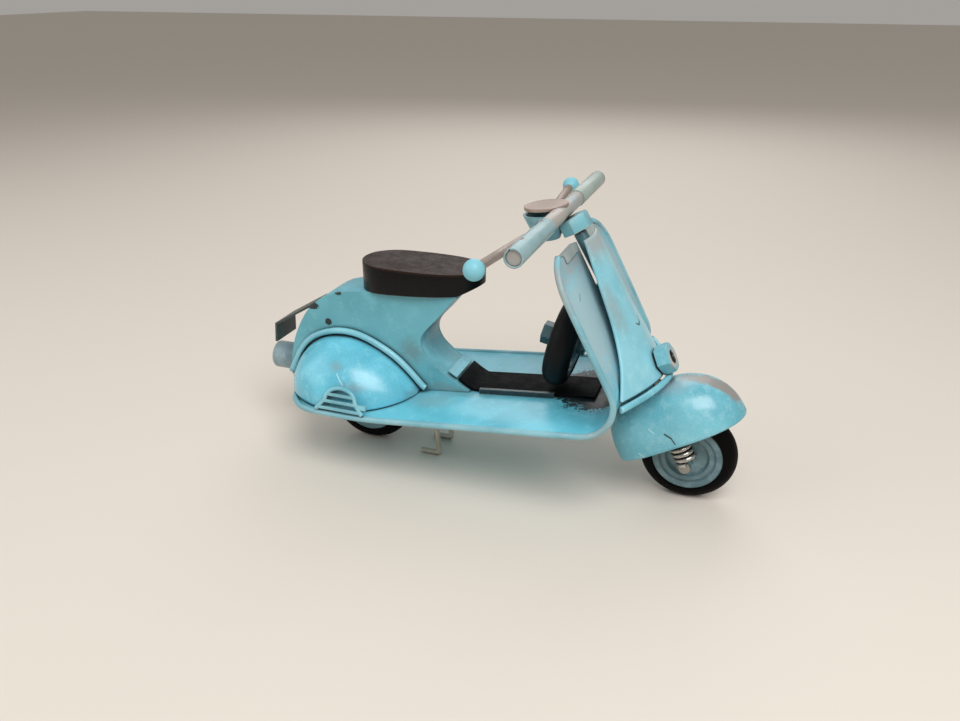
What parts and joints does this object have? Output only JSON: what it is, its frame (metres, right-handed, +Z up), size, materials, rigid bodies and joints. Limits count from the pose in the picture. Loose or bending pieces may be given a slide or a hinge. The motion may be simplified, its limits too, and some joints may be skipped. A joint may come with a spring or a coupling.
{
  "type": "toy scooter",
  "caption": "Sheet-metal toy motor scooter with leg shield, seat, spare wheel, steering fork, turning wheels and folding stand",
  "frame": {"origin": "centre of the footprint on the ground", "axes": "+X forward, towards the front wheel; +Y to the rider's left; +Z up"},
  "size_m": [0.1573, 0.0996, 0.0878],
  "materials": {
    "turquoise_paint": "hand-brushed gloss enamel, chipped and rubbed at the edges",
    "worn_paint": "thin enamel rubbed through to grey, brown in the seams",
    "dark_paint": "dark teal-grey enamel, satin",
    "bare_steel": "bare turned and drawn steel, dulled",
    "zinc_nut": "plated steel, rough and stained",
    "rubber_black": "black satin, slightly dusty",
    "seat_black": "black gloss lacquer over wood, brown and dull on top",
    "mat_black": "black satin paint",
    "lamp_grey": "mottled grey-blue enamel",
    "plate_green": "dark grey-green enamel, dull",
    "brushed_bare": "bare sheet, pinkish brown and dull"
  },
  "bodies": {
    "chassis": {"leg_shield_floor": "turquoise_paint", "edge_wire_right": "worn_paint", "edge_wire_left": "worn_paint", "top_lip_right": "worn_paint", "top_lip_left": "worn_paint", "front_cover": "turquoise_paint", "cover_trim_rod": "turquoise_paint", "head_tube": "dark_paint", "headlamp_nut": "turquoise_paint", "side_panel_right": "turquoise_paint", "side_panel_left": "turquoise_paint", "body_top_strip": "turquoise_paint", "body_front_sheet": "turquoise_paint", "cowl_right": "turquoise_paint", "cowl_left": "turquoise_paint", "cowl_trim_right": "turquoise_paint", "cowl_trim_left": "turquoise_paint", "cooling_grille": "turquoise_paint", "seat": "seat_black", "floor_mat": "mat_black", "mat_rail": "dark_paint", "mat_end_strip": "turquoise_paint", "tail_lamp": "lamp_grey", "tail_bracket": "brushed_bare", "number_plate": "plate_green", "axle_bracket_right": "dark_paint", "axle_bracket_left": "dark_paint", "rear_axle": "bare_steel", "rear_axle_nuts": "zinc_nut", "stand_sleeve": "dark_paint", "spare_tyre": "rubber_black", "spare_discs": "dark_paint", "spare_hub": "dark_paint", "spare_bolt": "dark_paint", "spare_nut": "dark_paint"},
    "rear_wheel": {"rear_tyre": "rubber_black", "rear_discs": "dark_paint", "rear_hub": "dark_paint"},
    "stand": {"centre_stand": "zinc_nut"},
    "steering": {"steering_stem": "bare_steel", "steering_nut": "turquoise_paint", "mudguard": "turquoise_paint", "fork_yoke": "dark_paint", "fork_spring": "bare_steel", "front_axle": "bare_steel", "front_axle_nut": "zinc_nut", "handlebar_tube": "worn_paint", "grip_right": "turquoise_paint", "grip_left": "worn_paint", "headset_cup": "turquoise_paint", "dial_disc": "brushed_bare", "lever_right": "brushed_bare", "lever_left": "brushed_bare"},
    "front_wheel": {"front_tyre": "rubber_black", "front_discs": "dark_paint", "front_hub": "dark_paint"}
  },
  "joints": [
    {"name": "steering_turn", "type": "hinge", "parent": "chassis", "child": "steering", "pos_m": [0.0651, 0, 0.0145], "axis": [-0.509, 0, 0.8607], "range_deg": [-40, 40]},
    {"name": "front_wheel_spin", "type": "hinge", "parent": "steering", "child": "front_wheel", "pos_m": [0.0637, 0, 0.0145], "axis": [0, 1, 0], "continuous": true},
    {"name": "rear_wheel_spin", "type": "hinge", "parent": "chassis", "child": "rear_wheel", "pos_m": [-0.043, 0, 0.0145], "axis": [0, 1, 0], "continuous": true},
    {"name": "stand_fold", "type": "hinge", "parent": "chassis", "child": "stand", "pos_m": [-0.0189, 0, 0.02121], "axis": [0, 1, 0], "range_deg": [0, 45]}
  ]
}
